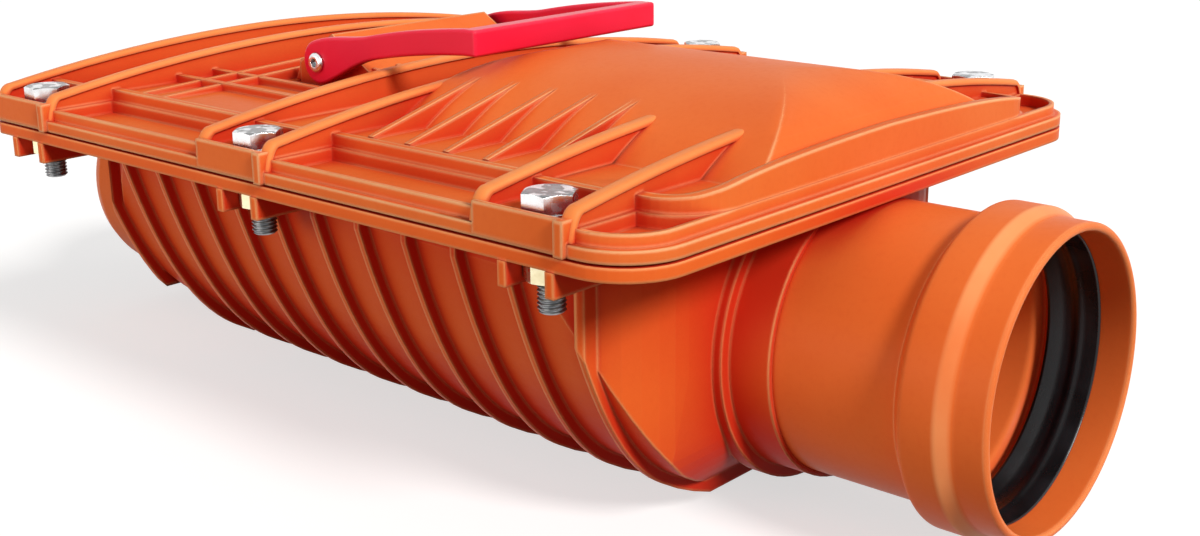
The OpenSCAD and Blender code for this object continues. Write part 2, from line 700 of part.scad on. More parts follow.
placed() body_shell();
placed() inlet_spigot();
placed() outlet_socket();
placed() socket_seal();
placed() seat_ring();
placed() hinge_pin();
placed() hinge_clips();
placed() lid_cover();
placed() lid_gasket();
placed() lid_bolts();
placed() lid_washers();
placed() lid_nuts();
placed() shaft_bushes();
placed() shaft_o_rings();
placed() lever_yoke();
placed() lever_shaft();
placed() lever_screws();
placed() lever_washers();
placed() lock_cam();
placed() cam_pin();
placed() flap_plate();
placed() flap_seal();
placed() flap_retainer();
placed() flap_screws();
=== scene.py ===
import json
import math

import bmesh
import bpy
from mathutils import Matrix, Vector

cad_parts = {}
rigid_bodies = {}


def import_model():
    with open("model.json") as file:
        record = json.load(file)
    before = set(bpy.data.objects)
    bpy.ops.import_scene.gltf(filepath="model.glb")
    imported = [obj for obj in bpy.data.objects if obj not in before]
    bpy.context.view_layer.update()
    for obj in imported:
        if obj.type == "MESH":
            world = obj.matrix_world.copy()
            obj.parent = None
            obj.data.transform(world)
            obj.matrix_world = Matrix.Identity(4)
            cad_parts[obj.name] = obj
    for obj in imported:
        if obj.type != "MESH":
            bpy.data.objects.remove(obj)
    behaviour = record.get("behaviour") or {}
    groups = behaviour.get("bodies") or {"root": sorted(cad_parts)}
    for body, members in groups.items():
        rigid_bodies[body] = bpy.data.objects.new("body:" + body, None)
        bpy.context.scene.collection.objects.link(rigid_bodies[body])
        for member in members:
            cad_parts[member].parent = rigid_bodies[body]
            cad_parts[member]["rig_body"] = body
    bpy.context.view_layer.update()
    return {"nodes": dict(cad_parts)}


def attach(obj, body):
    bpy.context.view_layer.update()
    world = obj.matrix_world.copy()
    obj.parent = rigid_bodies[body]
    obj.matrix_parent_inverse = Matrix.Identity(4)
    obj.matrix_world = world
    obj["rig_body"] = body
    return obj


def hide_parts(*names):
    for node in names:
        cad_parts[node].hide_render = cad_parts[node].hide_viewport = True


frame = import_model()
NODES = frame["nodes"]
MM = 0.001

# Places of the CAD model, in millimetres about the pipe axis
LINE_MID = 2.0
AXIS_H = 70.0
BOLT_XS = (-154.0, 0.0, 154.0)
BOLT_YS = (-139.0, 139.0)
LID_TOP = 71.5
BODY_UNDER = 56.5
WASHER_T = 1.6
BOLT_L = 35.0
HEX_AF = 17.0
HEAD_H = 6.4
NUT_H = 7.0
SHAFT = (-65.0, 88.0)
ARM_OUT_Y = 57.0


def place(x, y, z):
    """Point of the row frame, in metres, from millimetres about the pipe axis."""
    return Vector(((x - LINE_MID) * MM, y * MM, (z + AXIS_H) * MM))


# Shader nodes

def add(tree, kind, inputs=None, **settings):
    """New node with its attributes set, and each input set to a value or linked to a socket."""
    node = tree.nodes.new("ShaderNode" + kind)
    for key, value in settings.items():
        setattr(node, key, value)
    for key, value in (inputs or {}).items():
        if isinstance(value, bpy.types.NodeSocket):
            tree.links.new(value, node.inputs[key])
        else:
            node.inputs[key].default_value = value
    return node


def rgba(colour):
    return (*colour, 1.0)


def new_material(name):
    """Material with an empty principled shader, and the coordinates of the object."""
    mat = bpy.data.materials.new(name)
    mat.use_nodes = True
    tree = mat.node_tree
    tree.nodes.clear()
    shader = add(tree, "BsdfPrincipled")
    add(tree, "OutputMaterial", inputs={"Surface": shader.outputs[0]})
    coords = add(tree, "TexCoord").outputs["Object"]
    return mat, tree, shader, coords


def mix(tree, factor, a, b):
    """Colour from a to b, each a socket or three numbers."""
    node = add(tree, "Mix", data_type="RGBA")
    for index, value in ((0, factor), (6, a), (7, b)):
        if isinstance(value, bpy.types.NodeSocket):
            tree.links.new(value, node.inputs[index])
        else:
            node.inputs[index].default_value = value if index == 0 else rgba(value)
    return node.outputs[2]


def remap(tree, value, low, high, to_low=0.0, to_high=1.0):
    ends = {0: value, 1: low, 2: high, 3: to_low, 4: to_high}
    return add(tree, "MapRange", inputs=ends).outputs[0]


def times(tree, a, b):
    return add(tree, "Math", operation="MULTIPLY", inputs={0: a, 1: b}).outputs[0]


def larger(tree, a, b):
    return add(tree, "Math", operation="MAXIMUM", inputs={0: a, 1: b}).outputs[0]


def part_of(tree, vector, axis):
    return add(tree, "SeparateXYZ", inputs={0: vector}).outputs[axis]


def noise(tree, coords, scale, detail=2.0):
    return add(tree, "TexNoise", inputs={"Vector": coords, "Scale": scale, "Detail": detail}).outputs["Fac"]


def openness(tree, reach):
    """One on open faces, and less where other faces stand within reach, in metres."""
    return add(tree, "AmbientOcclusion", samples=8, inputs={"Distance": reach}).outputs["AO"]


def rounded_normal(tree, radius_mm, samples):
    return add(tree, "Bevel", samples=samples, inputs={"Radius": radius_mm * MM}).outputs[0]


def roughen(tree, shader, strength, depth, height, normal=None):
    """Relief from a height, on a normal of its own where one is given."""
    inputs = {"Strength": strength, "Distance": depth, "Height": height}
    if normal is not None:
        inputs["Normal"] = normal
    bump = add(tree, "Bump", inputs=inputs)
    tree.links.new(bump.outputs[0], shader.inputs["Normal"])


# Moulded plastic: noise per metre, reaches and depths in metres, fades along the pipe in millimetres; the
# reaches set where shade is painted in hollows and sheltered places, and the edge and band spans shape
# painted highlights
MOTTLE_SCALE = 14.0
MOTTLE_DETAIL = 4.0
MOTTLE_SPAN = (0.35, 0.65)
SPECK_SCALE = 420.0
SPECK_SPAN = (0.50, 0.75)
GLOSS_SPAN = (0.3, 0.7)
ROUGH_LESS = 0.02
ROUGH_MORE = 0.03
GRAIN_SCALE = 1500.0
GRAIN_DEPTH = 0.0004
HOLLOW_REACH = 0.020
SHELTER_REACH = 0.070
SHELTER_FADE = 0.5
# The edge spans shape the painted highlight on edges
EDGE_BEND = (0.997, 0.92)
EDGE_OPEN = (0.35, 0.95)
EDGE_SPAN = (0.3, 0.7)
EDGE_LEAST = 0.6
# The band spans shape a painted highlight band along the pipe
HIGHLIGHT_BAND_OUTER = 1.0
HIGHLIGHT_BAND_INNER = 0.5
HIGHLIGHT_BAND_SPAN = (0.3, 0.6)
HIGHLIGHT_BAND_STRENGTH = (0.15, 0.40)
SOFT_FADE_IN = 6.0
SOFT_FADE_OUT = 3.0
SOFT_UPWARD = (0.70, 0.80)
PLASTIC_IOR = 1.5


def softened(tree, coords, true, rounded, x_from, x_to, radius_mm):
    """Normal that rounds the creases of upward faces between two places along the pipe by a large radius."""
    along = part_of(tree, coords, "X")
    rise = remap(tree, along, (x_from - SOFT_FADE_IN) * MM, x_from * MM)
    fall = remap(tree, along, (x_to + SOFT_FADE_OUT) * MM, x_to * MM)
    upward = remap(tree, part_of(tree, true, "Z"), *SOFT_UPWARD)
    here = times(tree, times(tree, rise, fall), upward)
    broad = rounded_normal(tree, radius_mm, 8)
    blend = add(tree, "Mix", data_type="VECTOR", inputs={0: here, 4: rounded, 5: broad}).outputs[1]
    return add(tree, "VectorMath", operation="NORMALIZE", inputs={0: blend}).outputs[0]


def painted_highlight_band(tree, coords, mottle, x_from, x_to):
    """Strength of a painted highlight: a patchy pale band between two places along the pipe."""
    along = part_of(tree, coords, "X")
    rise = remap(tree, along, (x_from - HIGHLIGHT_BAND_OUTER) * MM, (x_from + HIGHLIGHT_BAND_INNER) * MM)
    fall = remap(tree, along, (x_to + HIGHLIGHT_BAND_OUTER) * MM, (x_to - HIGHLIGHT_BAND_INNER) * MM)
    return times(tree, times(tree, rise, fall), remap(tree, mottle, *HIGHLIGHT_BAND_SPAN, *HIGHLIGHT_BAND_STRENGTH))


def plastic(name, base, pale, edge, speck_and_shade, rough, edge_mm=2.0, grain=0.06, highlight_share=0.9, specks=0.05, shaded=0.5,
            open_at=0.80, hollow_shade_span=(0.15, 0.80), gloss=0.06, soft=None, highlight_band=None):
    """Moulded plastic: mottled colour, a painted highlight on the edges, painted shade in the hollows and
    sheltered places, fine grain.
    """
    mat, tree, shader, coords = new_material(name)
    mottle = noise(tree, coords, MOTTLE_SCALE, MOTTLE_DETAIL)
    speck = noise(tree, coords, SPECK_SCALE)
    fine = noise(tree, coords, GRAIN_SCALE)
    # Painted shade: where the openness is low, in hollows and sheltered places, the colour turns to the deep
    # tone
    hollow = openness(tree, HOLLOW_REACH)
    shelter = openness(tree, SHELTER_REACH)
    body = mix(tree, remap(tree, mottle, *MOTTLE_SPAN), base, pale)
    body = mix(tree, remap(tree, speck, *SPECK_SPAN, 0.0, specks), body, speck_and_shade)
    body = mix(tree, remap(tree, shelter, open_at - SHELTER_FADE, open_at, 1.0 - shaded, 1.0), speck_and_shade, body)
    body = mix(tree, remap(tree, hollow, *hollow_shade_span), speck_and_shade, body)
    # Painted highlight: a patchy pale band between two places along the pipe
    if highlight_band:
        body = mix(tree, painted_highlight_band(tree, coords, mottle, *highlight_band), body, edge)
    # Painted highlight: convex edges in the open turn to the pale edge colour
    rounded = rounded_normal(tree, edge_mm, 6)
    true = add(tree, "NewGeometry").outputs["Normal"]
    bend = add(tree, "VectorMath", operation="DOT_PRODUCT", inputs={0: rounded, 1: true}).outputs["Value"]
    edge_highlight_mask = times(tree, remap(tree, bend, *EDGE_BEND), remap(tree, hollow, *EDGE_OPEN))
    edge_highlight_mask = times(tree, edge_highlight_mask, remap(tree, mottle, *EDGE_SPAN, EDGE_LEAST, 1.0))
    colour = mix(tree, times(tree, edge_highlight_mask, highlight_share), body, edge)
    dull = remap(tree, speck, *GLOSS_SPAN, rough - ROUGH_LESS, rough + ROUGH_MORE)
    normal = softened(tree, coords, true, rounded, *soft) if soft else rounded
    tree.links.new(colour, shader.inputs["Base Color"])
    tree.links.new(dull, shader.inputs["Roughness"])
    roughen(tree, shader, grain, GRAIN_DEPTH, fine, normal)
    shader.inputs["IOR"].default_value = PLASTIC_IOR
    shader.inputs["Specular IOR Level"].default_value = gloss
    return mat


# Plated and brushed metal
PATCH_SCALE = 300.0
PATCH_DETAIL = 3.0
PATCH_SPAN = (0.35, 0.7)
METAL_GLOSS_SPAN = (0.3, 0.7)
METAL_ROUGH_LESS = 0.05
METAL_ROUGH_MORE = 0.12
SCRATCH_SCALE = 2400.0
SCRATCH_STRENGTH = 0.08
SCRATCH_DEPTH = 0.0002
# Painted shade in the hollows of metal: its reach, span and tone
METAL_REACH = 0.004
METAL_HOLLOW_SHADE_SPAN = (0.1, 0.8)
METAL_HOLLOW_SHADE_TONE = 0.25
METAL_EDGE_MM = 0.3
# Painted dark reflection in patches on upward faces
TOP_REFLECTION_SCALE = 210.0
TOP_REFLECTION_DETAIL = 1.0
TOP_REFLECTION_SPAN = (0.44, 0.52)
TOP_REFLECTION_UPWARD = (0.7, 0.95)
TOP_REFLECTION_TONE = 0.12


def dimmed(colour, share):
    return tuple(share * c for c in colour)


def metal(name, base, dark, rough, stretch=(1.0, 1.0, 1.0), dark_top_reflection=0.0):
    """Plated or brushed metal: patchy tone, fine scratches, painted shade in the hollows and a painted dark
    reflection in patches on what faces up.
    """
    mat, tree, shader, coords = new_material(name)
    lines = add(tree, "Mapping", inputs={"Vector": coords, "Scale": stretch}).outputs[0]
    patch = noise(tree, coords, PATCH_SCALE, PATCH_DETAIL)
    scratch = noise(tree, lines, SCRATCH_SCALE)
    # Painted shade: the tone darkens in the hollows
    hollow = openness(tree, METAL_REACH)
    tone = mix(tree, remap(tree, patch, *PATCH_SPAN), base, dark)
    tone = mix(tree, remap(tree, hollow, *METAL_HOLLOW_SHADE_SPAN), dimmed(dark, METAL_HOLLOW_SHADE_TONE), tone)
    # Painted dark reflection: patches on upward faces turn dark
    if dark_top_reflection:
        facing = part_of(tree, add(tree, "NewGeometry").outputs["Normal"], "Z")
        top_reflection_patch = remap(tree, noise(tree, coords, TOP_REFLECTION_SCALE, TOP_REFLECTION_DETAIL), *TOP_REFLECTION_SPAN)
        top_reflection_patch = times(tree, times(tree, remap(tree, facing, *TOP_REFLECTION_UPWARD), top_reflection_patch), dark_top_reflection)
        tone = mix(tree, top_reflection_patch, tone, dimmed(dark, TOP_REFLECTION_TONE))
    dull = remap(tree, patch, *METAL_GLOSS_SPAN, rough - METAL_ROUGH_LESS, rough + METAL_ROUGH_MORE)
    tree.links.new(tone, shader.inputs["Base Color"])
    tree.links.new(dull, shader.inputs["Roughness"])
    roughen(tree, shader, SCRATCH_STRENGTH, SCRATCH_DEPTH, scratch, rounded_normal(tree, METAL_EDGE_MM, 4))
    shader.inputs["Metallic"].default_value = 1.0
    return mat


# Seal rubber
BLOOM_SCALE = 60.0
BLOOM_DETAIL = 4.0
BLOOM_SPAN = (0.45, 0.75)
BLOOM_MOST = 0.6
RUBBER_GLOSS_SPAN = (0.3, 0.7)
RUBBER_ROUGH_LESS = 0.05
RUBBER_ROUGH_MORE = 0.1
RUBBER_GRAIN_SCALE = 1800.0
RUBBER_GRAIN = 0.15
RUBBER_GRAIN_DEPTH = 0.0003
RUBBER_GLOSS = 0.35


def rubber(name, base, pale, rough):
    """Black rubber with a faint pale bloom and a fine grain."""
    mat, tree, shader, coords = new_material(name)
    bloom = noise(tree, coords, BLOOM_SCALE, BLOOM_DETAIL)
    grain = noise(tree, coords, RUBBER_GRAIN_SCALE)
    tone = mix(tree, remap(tree, bloom, *BLOOM_SPAN, 0.0, BLOOM_MOST), base, pale)
    dull = remap(tree, bloom, *RUBBER_GLOSS_SPAN, rough - RUBBER_ROUGH_LESS, rough + RUBBER_ROUGH_MORE)
    tree.links.new(tone, shader.inputs["Base Color"])
    tree.links.new(dull, shader.inputs["Roughness"])
    roughen(tree, shader, RUBBER_GRAIN, RUBBER_GRAIN_DEPTH, grain)
    shader.inputs["Specular IOR Level"].default_value = RUBBER_GLOSS
    return mat


# Each plastic: base and pale are its mottled tone, the deep tone is painted shade and dark specks, and the
# edge colour is a painted highlight
ORANGE = plastic(
    "orange_plastic", base=(0.80, 0.152, 0.028), pale=(0.84, 0.186, 0.040), edge=(1.0, 0.64, 0.32),
    speck_and_shade=(0.52, 0.012, 0.008), rough=0.42, soft=(112.0, 180.0, 9.0))
# Lit copy of the orange for the arch rims: its paler base is a painted highlight
RIM_HIGHLIGHT = plastic(
    "orange_rim_highlight", base=(0.86, 0.245, 0.062), pale=(0.91, 0.300, 0.085), edge=(1.0, 0.66, 0.34),
    speck_and_shade=(0.56, 0.020, 0.010), rough=0.40, edge_mm=1.2, shaded=0.3)
# Shaded copy of the orange for the trough: a redder base and full painted shade in its hollows and sheltered
# places
TROUGH_SHADED = plastic(
    "orange_trough_shaded", base=(0.80, 0.128, 0.020), pale=(0.84, 0.152, 0.027), edge=(1.0, 0.46, 0.18),
    speck_and_shade=(0.62, 0.030, 0.010), rough=0.42, shaded=1.0, open_at=1.0, hollow_shade_span=(0.40, 1.0))
# The pipe has a painted highlight band on the bead's front shoulder
PIPE = plastic(
    "orange_pipe", base=(0.83, 0.160, 0.030), pale=(0.87, 0.190, 0.040), edge=(1.0, 0.58, 0.26),
    speck_and_shade=(0.56, 0.014, 0.008), rough=0.38, edge_mm=2.4, shaded=0.3, highlight_band=(251.5, 256.0))
RED = plastic(
    "red_plastic", base=(0.86, 0.006, 0.042), pale=(0.90, 0.012, 0.060), edge=(1.0, 0.26, 0.33),
    speck_and_shade=(0.46, 0.002, 0.012), rough=0.30, edge_mm=1.0, grain=0.03, specks=0.0, gloss=0.22)
GREY = plastic(
    "grey_plastic", base=(0.16, 0.16, 0.17), pale=(0.22, 0.22, 0.23), edge=(0.34, 0.34, 0.35),
    speck_and_shade=(0.05, 0.05, 0.05), rough=0.5)
# The zinc has a painted dark reflection on its upward faces
ZINC = metal("zinc_steel", base=(0.88, 0.89, 0.90), dark=(0.70, 0.71, 0.73), rough=0.20, dark_top_reflection=0.8)
NUT_ZINC = metal("yellow_zinc", base=(0.88, 0.80, 0.55), dark=(0.70, 0.62, 0.38), rough=0.28)
THREAD = metal("dark_thread", base=(0.34, 0.36, 0.37), dark=(0.16, 0.17, 0.18), rough=0.32)
STEEL = metal(
    "stainless_steel", base=(0.56, 0.56, 0.57), dark=(0.42, 0.42, 0.43), rough=0.32, stretch=(1.0, 12.0, 1.0))
BLACK = rubber("black_rubber", base=(0.005, 0.005, 0.006), pale=(0.012, 0.014, 0.018), rough=0.28)

NODE_LOOKS = {
    "body_shell": TROUGH_SHADED, "lid_cover": ORANGE, "seat_ring": ORANGE, "flap_plate": ORANGE,
    "inlet_spigot": PIPE, "outlet_socket": PIPE, "lever_yoke": RED,
    "socket_seal": BLACK, "lid_gasket": BLACK, "shaft_o_rings": BLACK, "flap_seal": BLACK,
    "shaft_bushes": GREY, "lever_washers": GREY,
    "lid_bolts": ZINC, "lid_washers": ZINC, "lid_nuts": NUT_ZINC, "lever_screws": ZINC,
    "hinge_pin": STEEL, "hinge_clips": STEEL, "lever_shaft": STEEL, "lock_cam": STEEL, "cam_pin": STEEL,
    "flap_retainer": STEEL, "flap_screws": STEEL,
}


def dress(obj, mat):
    obj.data.materials.clear()
    obj.data.materials.append(mat)


for node_name, look in NODE_LOOKS.items():
    dress(NODES[node_name], look)


# Meshes

def new_object(name, bm, mat, angle=30.0):
    """Object from a mesh in the making, smooth but for edges sharper than the angle, in degrees."""
    mesh = bpy.data.meshes.new(name)
    bm.to_mesh(mesh)
    bm.free()
    mesh.polygons.foreach_set("use_smooth", [True] * len(mesh.polygons))
    mesh.set_sharp_from_angle(angle=math.radians(angle))
    obj = bpy.data.objects.new(name, mesh)
    bpy.context.scene.collection.objects.link(obj)
    dress(obj, mat)
    return obj


def round_edges(obj, width_mm, segments, angle):
    """Bevel on the edges sharper than the angle, in degrees."""
    bevel = obj.modifiers.new("round_edges", "BEVEL")
    bevel.width = width_mm * MM
    bevel.segments = segments
    bevel.limit_method = "ANGLE"
    bevel.angle_limit = math.radians(angle)
    bevel.harden_normals = True


def stand_for(obj, *nodes):
    """The piece moves with the nodes' body and hides them."""
    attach(obj, NODES[nodes[0]]["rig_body"])
    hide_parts(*nodes)


def add_to_lid(obj):
    """The piece moves with the lid."""
    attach(obj, NODES["lid_cover"]["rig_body"])


def grid_faces(bm, rows, closed_rows=False):
    """Quads between rows of vertices, each row a closed ring."""
    count = len(rows)
    for i in range(count if closed_rows else count - 1):
        a = rows[i]
        b = rows[(i + 1) % count]
        for j in range(len(a)):
            k = (j + 1) % len(a)
            bm.faces.new((a[j], a[k], b[k], b[j]))


def capped_grid(bm, rows):
    """Quads between rows of vertices, with a face over each end."""
    grid_faces(bm, rows)
    bm.faces.new(rows[-1])
    bm.faces.new(list(reversed(rows[0])))


def turned_x(name, profile, mat, steps=192):
    """Ring turned about the pipe axis, from a closed outline of (x, radius) points in millimetres."""
    bm = bmesh.new()
    rows = []
    for x, r in profile:
        ring = []
        for j in range(steps):
            a = 2 * math.pi * j / steps
            ring.append(bm.verts.new(place(x, r * math.cos(a), r * math.sin(a))))
        rows.append(ring)
    grid_faces(bm, rows, closed_rows=True)
    bmesh.ops.recalc_face_normals(bm, faces=bm.faces)
    return new_object(name, bm, mat)


FILLET_REACH = 0.48


def rounded_profile(corners, steps=5):
    """Closed outline from (x, r, fillet) corners, each corner rounded by its fillet."""
    points = []
    count = len(corners)
    for i, (x, r, fillet) in enumerate(corners):
        here = Vector((x, r))
        if fillet <= 0:
            points.append(here)
            continue
        back = Vector(corners[i - 1][:2]) - here
        ahead = Vector(corners[(i + 1) % count][:2]) - here
        reach = min(fillet, FILLET_REACH * back.length, FILLET_REACH * ahead.length)
        a = here + back.normalized() * reach
        c = here + ahead.normalized() * reach
        for k in range(steps + 1):
            t = k / steps
            points.append((1 - t) ** 2 * a + 2 * t * (1 - t) * here + t ** 2 * c)
    return [(p.x, p.y) for p in points]


# Outlet socket: tube, bead and sleeve with soft shoulders, as (x, radius, fillet) corners
PIPE_START = 158.4
PIPE_R = 55.0
PIPE_BORE_R = 51.8
SOCKET_BORE_R = 55.3
SLEEVE_R = 58.5
BEAD_R = 61.6
BEAD_FROM = 240.0
BEAD_TO = 254.0
BEAD_SLOPE = 5.0
MOUTH = 272.0
MOUTH_ROUND = 0.8
MOUTH_FLAT_R = (57.4, 56.0)
GROOVE_FROM = 242.5
GROOVE_TO = 251.5
GROOVE_R = 58.4
STOP_FROM = 232.8
STOP_TO = 236.0
SOCKET_OUTLINE = (
    (PIPE_START, PIPE_BORE_R, 0),
    (PIPE_START, PIPE_R, 0),
    (BEAD_FROM - BEAD_SLOPE, PIPE_R, 1.0),
    (BEAD_FROM, BEAD_R, 1.2),
    (BEAD_TO, BEAD_R, 0.8),
    (BEAD_TO + BEAD_SLOPE, SLEEVE_R, 0.8),
    (MOUTH - MOUTH_ROUND, SLEEVE_R, 0.9),
    (MOUTH, MOUTH_FLAT_R[0], 0.8),
    (MOUTH, MOUTH_FLAT_R[1], 0.7),
    (MOUTH - MOUTH_ROUND, SOCKET_BORE_R, 0.6),
    (GROOVE_TO, SOCKET_BORE_R, 0.5),
    (GROOVE_TO, GROOVE_R, 0.3),
    (GROOVE_FROM, GROOVE_R, 0.3),
    (GROOVE_FROM, SOCKET_BORE_R, 0.5),
    (STOP_TO, SOCKET_BORE_R, 0.8),
    (STOP_FROM, PIPE_BORE_R, 1.5),
)
stand_for(turned_x("outlet_socket_skin", rounded_profile(SOCKET_OUTLINE), PIPE), "outlet_socket")

# Seal ring in the groove, with a lip that leans into the bore, then a ribbed inner face
SEAL_GAP = 0.2
SEAL_FROM = GROOVE_FROM + SEAL_GAP
SEAL_TO = GROOVE_TO - SEAL_GAP
SEAL_R = GROOVE_R - SEAL_GAP
SEAL_FLANGE_R = SOCKET_BORE_R - SEAL_GAP
SEAL_BACK = 239.8
SEAL_FRONT = 258.8
SEAL_OUTLINE = (
    (SEAL_FROM, SEAL_R, 0.5),
    (SEAL_FROM, SEAL_FLANGE_R, 0.2),
    (SEAL_BACK, SEAL_FLANGE_R, 0.3),
    (238.6, 51.6, 0.5),
    (SEAL_BACK, 51.0, 0.4),
    (245.0, 53.4, 1.2),
    (248.0, 53.9, 0.8),
    (250.6, 53.1, 1.0),
    (253.0, 53.9, 0.8),
    (258.2, 54.6, 0.6),
    (SEAL_FRONT, SEAL_FLANGE_R, 0.2),
    (SEAL_TO, SEAL_FLANGE_R, 0.2),
    (SEAL_TO, SEAL_R, 0.5),
)
stand_for(turned_x("socket_seal_skin", rounded_profile(SEAL_OUTLINE), BLACK), "socket_seal")

# Lever: two arms that thicken into their eyes, and a grip between their ends
ARM_END = (94.5, 17.5)
ARM_BEND = (40.0, 13.5)
ARM_IN_Y = 52.0
ARM_HALF_H = 5.3
EYE_R = 9.8
EYE_BLEND = 0.42
EYE_STEPS = 20
GRIP_T = 7.0
GRIP_HALF_H = 5.5
LEVER_ROUND = 1.3
WELD = 0.01


def arm_outline(steps=40):
    """Side view of an arm about the shaft, as (x, z) points: the eye, then the lower and the upper edge."""
    upper = []
    lower = []
    for k in range(steps + 1):
        t = k / steps
        x = 2 * t * (1 - t) * ARM_BEND[0] + t * t * ARM_END[0]
        z = 2 * t * (1 - t) * ARM_BEND[1] + t * t * ARM_END[1]
        dx = 2 * (1 - 2 * t) * ARM_BEND[0] + 2 * t * ARM_END[0]
        dz = 2 * (1 - 2 * t) * ARM_BEND[1] + 2 * t * ARM_END[1]
        run = math.hypot(dx, dz)
        ease = min(1.0, t / EYE_BLEND)
        half = EYE_R + (ARM_HALF_H - EYE_R) * ease * ease * (3 - 2 * ease)
        half += (GRIP_HALF_H - ARM_HALF_H) * t ** 4
        upper.append((x - dz / run * half, z + dx / run * half))
        lower.append((x + dz / run * half, z - dx / run * half))
    upper[-1] = (ARM_END[0], ARM_END[1] + GRIP_HALF_H)
    lower[-1] = (ARM_END[0], ARM_END[1] - GRIP_HALF_H)
    start = math.atan2(ARM_BEND[1], ARM_BEND[0]) + math.pi / 2
    eye = []
    for k in range(1, EYE_STEPS):
        a = start + math.pi * k / EYE_STEPS
        eye.append((EYE_R * math.cos(a), EYE_R * math.sin(a)))
    return eye + lower + upper[::-1]


def make_lever():
    """One closed skin: each arm is a strip between two side faces, and its end opens into the grip."""
    bm = bmesh.new()

    def vert(x, y, z):
        return bm.verts.new(place(SHAFT[0] + x, y, SHAFT[1] + z))

    outline = arm_outline()
    for side in (-1, 1):
        inner = [vert(x, side * ARM_IN_Y, z) for x, z in outline]
        outer = [vert(x, side * ARM_OUT_Y, z) for x, z in outline]
        bm.faces.new(inner)
        bm.faces.new(outer)
        for j in range(len(outline)):
            k = (j + 1) % len(outline)
            if min(outline[j][0], outline[k][0]) < ARM_END[0] - WELD:
                bm.faces.new((inner[j], inner[k], outer[k], outer[j]))
    back = ARM_END[0]
    front = back + GRIP_T
    plan = [(back, y) for y in (-ARM_OUT_Y, -ARM_IN_Y, ARM_IN_Y, ARM_OUT_Y)]
    plan += [(front, ARM_OUT_Y), (front, -ARM_OUT_Y)]
    arm_openings = (0, 2)
    under = [vert(x, y, ARM_END[1] - GRIP_HALF_H) for x, y in plan]
    over = [vert(x, y, ARM_END[1] + GRIP_HALF_H) for x, y in plan]
    bm.faces.new(under)
    bm.faces.new(over)
    for j in range(len(plan)):
        if j not in arm_openings:
            k = (j + 1) % len(plan)
            bm.faces.new((under[j], under[k], over[k], over[j]))
    bmesh.ops.remove_doubles(bm, verts=bm.verts, dist=WELD * MM)
    bmesh.ops.recalc_face_normals(bm, faces=bm.faces)
    obj = new_object("lever_skin", bm, RED)
    round_edges(obj, LEVER_ROUND, segments=3, angle=40)
    stand_for(obj, "lever_yoke")


make_lever()

# Rounded rims along the tops of the arches, with a section of (across, up) points
ARCH_XS = (-178.0, -138.0, -24.0, 16.0, 130.0, 170.0)
ARCH_FOOT = (149.5, 67.0)
ARCH_BEND = (148.0, 77.5)
ARCH_SHOULDER = (143.0, 77.5)
ARCH_TOP = 89.5
RIM_HALF = ((1.0, 0.85), (2.3, 0.6), (3.0, 0.0), (3.2, -0.8), (3.1, -1.6))
RIM_SECTION = [(-across, up) for across, up in reversed(RIM_HALF)] + list(RIM_HALF)
RIM_SMOOTH_ANGLE = 50.0


def arch_path(bend_steps=10, arc_steps=30):
    """Top edge of an arch, as (y, z) points from its far foot to its near foot."""
    corners = (ARCH_FOOT, ARCH_BEND, ARCH_SHOULDER)
    side = []
    for k in range(bend_steps):
        t = k / bend_steps
        weights = ((1 - t) ** 2, 2 * t * (1 - t), t * t)
        side.append(tuple(sum(w * c[i] for w, c in zip(weights, corners)) for i in (0, 1)))
    half, low = ARCH_SHOULDER
    sag = ARCH_TOP - low
    radius = (half * half + sag * sag) / (2 * sag)
    reach = math.asin(half / radius)
    top = []
    for k in range(arc_steps + 1):
        a = reach * (1 - 2 * k / arc_steps)
        top.append((radius * math.sin(a), ARCH_TOP - radius + radius * math.cos(a)))
    return side + top + [(-y, z) for y, z in reversed(side)]


def make_rims():
    bm = bmesh.new()
    path = [Vector(p) for p in arch_path()]
    for x in ARCH_XS:
        rows = []
        for k, here in enumerate(path):
            run = (path[min(k + 1, len(path) - 1)] - path[max(k - 1, 0)]).normalized()
            out = Vector((run.y, -run.x))
            if out.y < 0:
                out = -out
            ring = []
            for across, up in RIM_SECTION:
                spot = here + out * up
                ring.append(bm.verts.new(place(x + across, spot.x, spot.y)))
            rows.append(ring)
        capped_grid(bm, rows)
    bmesh.ops.recalc_face_normals(bm, faces=bm.faces)
    # The rims take the lit copy of the orange, a painted highlight
    add_to_lid(new_object("arch_rims", bm, RIM_HIGHLIGHT, RIM_SMOOTH_ANGLE))


make_rims()

# Gussets along both walls of the shaft housing, as (x, z) outlines from its middle
WALL_X = 24.0
WALL_TOP = 86.0
WALL_FOOT = 75.5
GUSSET_T = 2.6
GUSSET_FOOT = 7.0
GUSSET_TOP = 2.6
GUSSET_BEND = (1.0, 3.0)
GUSSET_SUNK = 1.0
GUSSET_RISE = 0.4
GUSSET_ROUND = 0.5
GUSSET_YS = (-44.0, -30.0, -10.0, 10.0, 30.0, 44.0)
GUSSET_OUTLINE = (
    (WALL_X - GUSSET_SUNK, WALL_FOOT),
    (WALL_X + GUSSET_FOOT, WALL_FOOT),
    (WALL_X + GUSSET_TOP + GUSSET_BEND[0], WALL_TOP - GUSSET_BEND[1]),
    (WALL_X + GUSSET_TOP, WALL_TOP),
    (WALL_X - GUSSET_SUNK, WALL_TOP + GUSSET_RISE),
)


def make_gussets():
    bm = bmesh.new()
    for side in (-1, 1):
        for y in GUSSET_YS:
            rows = []
            for edge in (y - GUSSET_T / 2, y + GUSSET_T / 2):
                rows.append([bm.verts.new(place(SHAFT[0] + side * x, edge, z)) for x, z in GUSSET_OUTLINE])
            capped_grid(bm, rows)
    bmesh.ops.recalc_face_normals(bm, faces=bm.faces)
    obj = new_object("housing_gussets", bm, ORANGE)
    round_edges(obj, GUSSET_ROUND, segments=2, angle=15)
    add_to_lid(obj)


